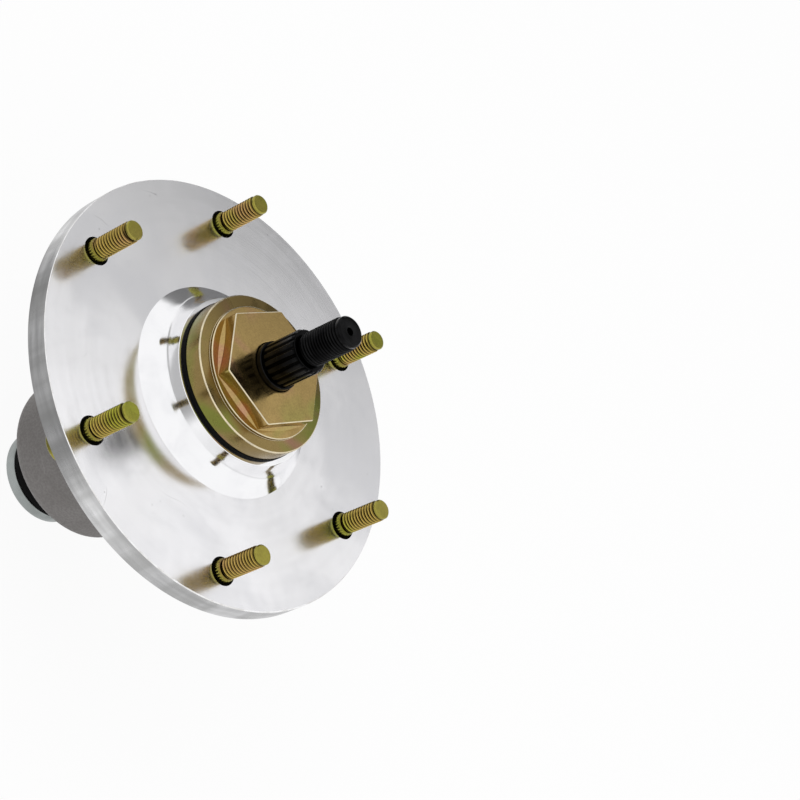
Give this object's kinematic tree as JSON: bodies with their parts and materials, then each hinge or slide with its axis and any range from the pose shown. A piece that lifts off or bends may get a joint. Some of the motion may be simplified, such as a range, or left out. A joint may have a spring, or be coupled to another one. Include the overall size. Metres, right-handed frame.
{
  "type": "mower deck spindle",
  "caption": "Mower deck spindle: a studded cast aluminium flange and barrel that carries a splined black shaft on sealed ball bearings under a gold flanged hexagon nut.",
  "frame": {"origin": "centre of the blade seat, the flat lower face of the blade hub", "axes": "+Z along the shaft from the blade seat towards the splined end, +X through one stud"},
  "size_m": [0.165, 0.165, 0.1666],
  "materials": {
    "cast_aluminium": "polished above, as cast below",
    "yellow_zinc": "yellow zinc plating",
    "black_oxide": "satin black oxide",
    "clear_zinc": "clear zinc plating",
    "spring_steel": "oiled spring steel",
    "bearing_steel": "ground",
    "cage_steel": "pressed",
    "black_rubber": "matt"
  },
  "bodies": {
    "housing": {"housing": "cast_aluminium", "flange_studs": "yellow_zinc", "retainer_nut": "yellow_zinc", "nut_gasket": "black_rubber", "upper_shaft_seal": "black_rubber", "lower_shaft_seal": "black_rubber", "bore_clip": "spring_steel", "lower_outer_race": "bearing_steel", "lower_bearing_lower_shield": "black_rubber", "lower_bearing_upper_shield": "black_rubber", "upper_outer_race": "bearing_steel", "upper_bearing_lower_shield": "black_rubber", "upper_bearing_upper_shield": "black_rubber"},
    "rotor": {"shaft": "black_oxide", "blade_hub": "clear_zinc", "dust_ring": "black_rubber", "bearing_spacer": "clear_zinc", "shaft_clip": "spring_steel", "lower_inner_race": "bearing_steel", "upper_inner_race": "bearing_steel"},
    "lower_ball_set": {"lower_cage": "cage_steel", "lower_ball_1": "bearing_steel", "lower_ball_2": "bearing_steel", "lower_ball_3": "bearing_steel", "lower_ball_4": "bearing_steel", "lower_ball_5": "bearing_steel", "lower_ball_6": "bearing_steel", "lower_ball_7": "bearing_steel", "lower_ball_8": "bearing_steel"},
    "upper_ball_set": {"upper_cage": "cage_steel", "upper_ball_1": "bearing_steel", "upper_ball_2": "bearing_steel", "upper_ball_3": "bearing_steel", "upper_ball_4": "bearing_steel", "upper_ball_5": "bearing_steel", "upper_ball_6": "bearing_steel", "upper_ball_7": "bearing_steel", "upper_ball_8": "bearing_steel"}
  },
  "joints": [
    {"name": "shaft_spin", "type": "hinge", "parent": "housing", "child": "rotor", "pos_m": [0, 0, 0.0664], "axis": [0, 0, 1], "continuous": true},
    {"name": "lower_cage_orbit", "type": "hinge", "parent": "housing", "child": "lower_ball_set", "pos_m": [0, 0, 0.0362], "axis": [0, 0, 1], "continuous": true},
    {"name": "upper_cage_orbit", "type": "hinge", "parent": "housing", "child": "upper_ball_set", "pos_m": [0, 0, 0.0967], "axis": [0, 0, 1], "continuous": true}
  ],
  "couplings": [
    {"joint": "lower_cage_orbit", "follows": "shaft_spin", "ratio": 0.38042},
    {"joint": "upper_cage_orbit", "follows": "shaft_spin", "ratio": 0.38042}
  ]
}
